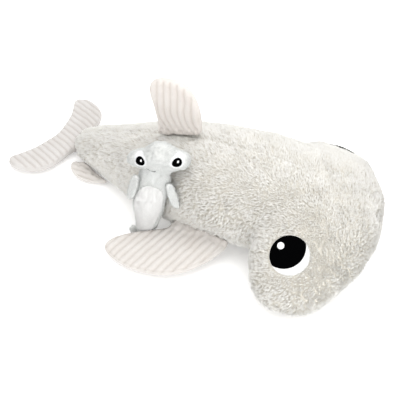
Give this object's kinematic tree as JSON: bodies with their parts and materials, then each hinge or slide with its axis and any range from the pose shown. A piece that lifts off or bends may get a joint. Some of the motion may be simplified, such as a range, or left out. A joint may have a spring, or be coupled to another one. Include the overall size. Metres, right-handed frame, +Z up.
{
  "type": "plush shark",
  "caption": "Large stuffed hammerhead shark with long pale pile, ribbed fins and big applique eyes, with a small hammerhead calf leaning on its flank.",
  "frame": {"origin": "on the floor under the middle of the bounding box", "axes": "+X from the tail towards the nose, +Y to the shark's own left, +Z up"},
  "size_m": [0.789, 0.4394, 0.2943],
  "materials": {
    "pile_cloth": "long soft cream-white pile fabric",
    "fin_cloth": "warm white wide-wale ribbed plush",
    "filling": "loose white polyester fibre",
    "eye_white": "smooth white felt applique",
    "eye_black": "black satin applique",
    "eye_glint": "white satin embroidery",
    "calf_cloth": "pale blue-grey short-pile plush",
    "calf_fin_cloth": "pale grey short-pile plush",
    "calf_belly_cloth": "white short-pile plush",
    "calf_eye_white": "white embroidery",
    "calf_thread": "dark embroidery thread"
  },
  "bodies": {
    "torso": {"torso_skin_left": "pile_cloth", "torso_skin_right": "pile_cloth", "torso_skin_under": "pile_cloth", "torso_stuffing": "filling"},
    "head": {"head_skin_left": "pile_cloth", "head_skin_right": "pile_cloth", "head_skin_under": "pile_cloth", "head_stuffing": "filling", "eye_glint_left": "eye_glint", "eye_glint_right": "eye_glint", "eye_pupil_left": "eye_black", "eye_pupil_right": "eye_black", "eye_white_left": "eye_white", "eye_white_right": "eye_white"},
    "tail": {"tail_skin_left": "pile_cloth", "tail_skin_right": "pile_cloth", "tail_skin_under": "pile_cloth", "tail_stuffing": "filling"},
    "caudal_fin": {"caudal_fin_stuffing": "filling", "caudal_fin_top": "fin_cloth", "caudal_fin_under": "fin_cloth"},
    "dorsal_fin": {"dorsal_fin_left_panel": "fin_cloth", "dorsal_fin_right_panel": "fin_cloth", "dorsal_fin_stuffing": "filling"},
    "pectoral_fin_left": {"pectoral_fin_left_stuffing": "filling", "pectoral_fin_left_top": "fin_cloth", "pectoral_fin_left_under": "fin_cloth"},
    "pectoral_fin_right": {"pectoral_fin_right_stuffing": "filling", "pectoral_fin_right_top": "fin_cloth", "pectoral_fin_right_under": "fin_cloth"},
    "pelvic_fin_left": {"pelvic_fin_left_stuffing": "filling", "pelvic_fin_left_top": "fin_cloth", "pelvic_fin_left_under": "fin_cloth"},
    "pelvic_fin_right": {"pelvic_fin_right_stuffing": "filling", "pelvic_fin_right_top": "fin_cloth", "pelvic_fin_right_under": "fin_cloth"},
    "calf_flipper_left": {"calf_flipper_left": "calf_fin_cloth"},
    "calf_flipper_right": {"calf_flipper_right": "calf_fin_cloth"},
    "calf": {"calf_belly_patch": "calf_belly_cloth", "calf_eye_glint_left": "eye_glint", "calf_eye_glint_right": "eye_glint", "calf_eye_pupil_left": "eye_black", "calf_eye_pupil_right": "eye_black", "calf_eye_white_left": "calf_eye_white", "calf_eye_white_right": "calf_eye_white", "calf_fluke": "calf_fin_cloth", "calf_skin_back": "calf_cloth", "calf_skin_front": "calf_cloth", "calf_smile": "calf_thread", "calf_stuffing": "filling"}
  },
  "joints": [
    {"name": "head_turn", "type": "hinge", "parent": "torso", "child": "head", "pos_m": [0.202, 0, 0.085], "axis": [0, 0, 1], "range_deg": [-12, 12], "stiffness_Nm_per_rad": 3},
    {"name": "tail_sway", "type": "hinge", "parent": "torso", "child": "tail", "pos_m": [-0.168, 0.03, 0.05], "axis": [0, 0, 1], "range_deg": [-20, 20], "stiffness_Nm_per_rad": 1.5},
    {"name": "caudal_flap", "type": "hinge", "parent": "tail", "child": "caudal_fin", "pos_m": [-0.2793, 0.0708, 0.016], "axis": [0.153, 0.9882, 0], "range_deg": [0, 30]},
    {"name": "dorsal_sway", "type": "hinge", "parent": "torso", "child": "dorsal_fin", "pos_m": [-0.01, 0.004, 0.186], "axis": [0.9675, 0, 0.2529], "range_deg": [-35, 35], "stiffness_Nm_per_rad": 0.2},
    {"name": "pectoral_left_lift", "type": "hinge", "parent": "torso", "child": "pectoral_fin_left", "pos_m": [0.065, 0.113, 0.031], "axis": [0.9962, 0.087, 0], "range_deg": [0, 55]},
    {"name": "pectoral_right_lift", "type": "hinge", "parent": "torso", "child": "pectoral_fin_right", "pos_m": [0.065, -0.113, 0.031], "axis": [-0.9962, 0.087, 0], "range_deg": [0, 8]},
    {"name": "pelvic_left_lift", "type": "hinge", "parent": "tail", "child": "pelvic_fin_left", "pos_m": [-0.1821, 0.0872, 0.009], "axis": [0.9977, -0.068, 0], "range_deg": [0, 45]},
    {"name": "pelvic_right_lift", "type": "hinge", "parent": "tail", "child": "pelvic_fin_right", "pos_m": [-0.2066, 0.0017, 0.009], "axis": [-0.8821, 0.4711, 0], "range_deg": [0, 45]},
    {"name": "calf_lift", "type": "slide", "parent": "torso", "child": "calf", "axis": [0, -0.12, 0.9928], "range_m": [0, 0.3]},
    {"name": "calf_flipper_left_swing", "type": "hinge", "parent": "calf", "child": "calf_flipper_left", "pos_m": [0.0147, -0.1096, 0.1466], "axis": [-0.9508, -0.196, 0.2399], "range_deg": [0, 60]},
    {"name": "calf_flipper_right_swing", "type": "hinge", "parent": "calf", "child": "calf_flipper_right", "pos_m": [-0.0435, -0.1247, 0.1618], "axis": [-0.9508, -0.196, 0.2399], "range_deg": [0, 60]}
  ]
}
